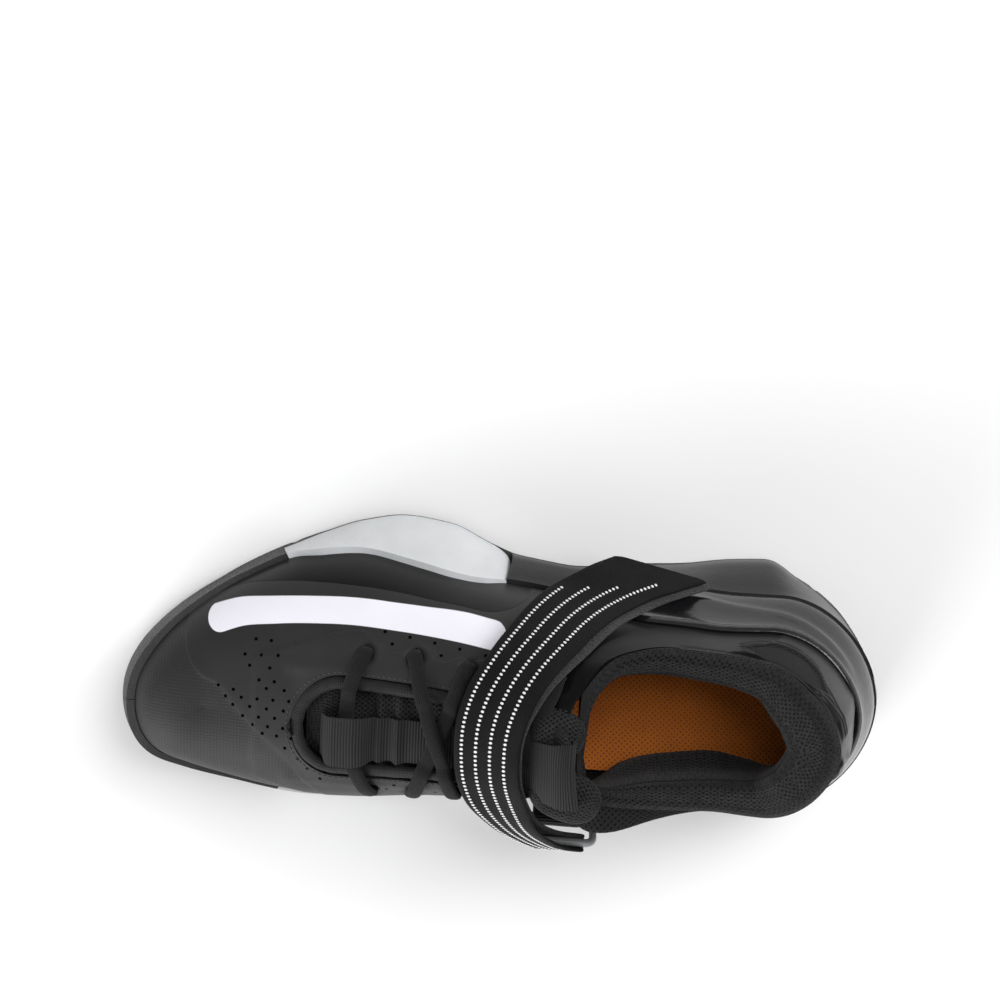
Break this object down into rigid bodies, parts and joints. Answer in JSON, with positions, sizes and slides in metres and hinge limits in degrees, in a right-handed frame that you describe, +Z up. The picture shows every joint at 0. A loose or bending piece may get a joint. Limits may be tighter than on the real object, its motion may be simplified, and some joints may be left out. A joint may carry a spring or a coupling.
{
  "type": "weightlifting shoe",
  "caption": "Low-cut right weightlifting shoe with a raised hard heel, flared sole, hollow upper, laces and an instep strap turned back through a loop.",
  "frame": {"origin": "on the floor under the middle of the heel", "axes": "+X to the toe, +Y to the inner side of the foot, +Z up"},
  "size_m": [0.298, 0.1209, 0.1045],
  "materials": {
    "black_rubber": "matt moulded rubber",
    "grey_foam": "smooth light-grey moulded foam",
    "hard_heel": "satin moulded plastic",
    "clip_plastic": "glossy moulded plastic",
    "film_fabric": "film-backed fabric with a faint sheen",
    "orange_foam": "orange brushed fabric on foam",
    "spacer_mesh": "black padded mesh",
    "tongue_mesh": "black padded mesh",
    "binding_fabric": "padded woven binding",
    "lace_cord": "braided polyester",
    "webbing": "ribbed webbing",
    "strap_fabric": "coated strap with a hook-and-pile layer under it",
    "grey_plastic": "moulded light-grey plastic",
    "tab_webbing": "woven tab"
  },
  "bodies": {
    "root": {"outsole": "black_rubber", "midsole": "grey_foam", "heel_block": "hard_heel", "heel_clip": "clip_plastic", "upper": "film_fabric", "insole": "orange_foam", "collar_padding": "spacer_mesh", "tongue": "tongue_mesh", "throat_binding": "binding_fabric", "lace_bar": "lace_cord", "lace_crossing_front": "lace_cord", "lace_crossing_rear": "lace_cord", "tongue_webbing": "webbing", "strap": "strap_fabric", "strap_loop": "grey_plastic", "loop_tab": "tab_webbing"}
  },
  "joints": []
}
